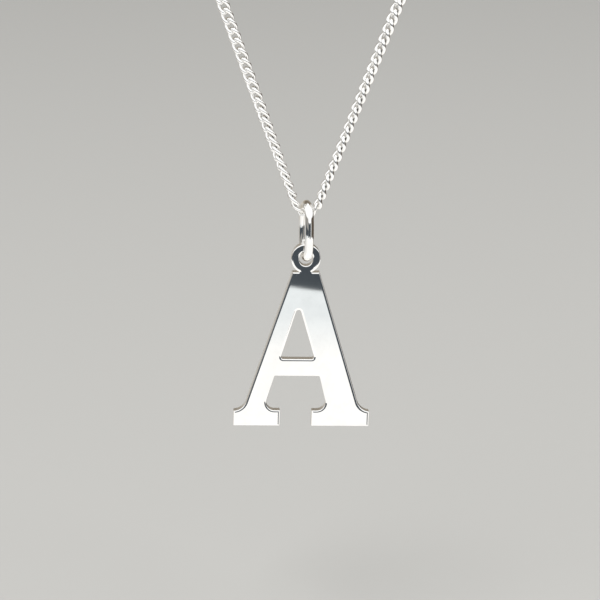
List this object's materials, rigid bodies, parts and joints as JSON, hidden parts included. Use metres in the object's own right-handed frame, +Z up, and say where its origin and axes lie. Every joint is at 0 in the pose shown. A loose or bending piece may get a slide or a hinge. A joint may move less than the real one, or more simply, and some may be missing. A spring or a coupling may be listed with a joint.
{
  "type": "initial pendant necklace",
  "caption": "Silver pendant necklace: a slab-serif letter A cut from sheet, hung by an oval bail on a curb chain with a bolt ring clasp",
  "frame": {"origin": "top of the chain's loop, at the bolt ring on the nape, which holds the necklace up", "axes": "+Z up, -Y towards the viewer of the letter's front face, +X to that viewer's right"},
  "size_m": [0.099, 0.0046, 0.2182],
  "materials": {
    "letter_silver": "mirror-polished sterling silver with fine hairlines",
    "bail_silver": "polished sterling silver wire",
    "chain_silver": "bright tumbled sterling silver links",
    "clasp_silver": "polished sterling silver"
  },
  "bodies": {
    "chain": {"chain_front": "chain_silver", "chain_back": "chain_silver", "clasp": "clasp_silver", "end_ring": "clasp_silver"},
    "bail": {"bail": "bail_silver"},
    "letter": {"letter": "letter_silver"}
  },
  "joints": [
    {"name": "bail_swing", "type": "hinge", "parent": "chain", "child": "bail", "pos_m": [0, 0, -0.18821], "axis": [1, 0, 0], "range_deg": [-90, 90]},
    {"name": "letter_swing", "type": "hinge", "parent": "bail", "child": "letter", "pos_m": [0, 0, -0.19346], "axis": [0, 1, 0], "range_deg": [-90, 90]}
  ]
}
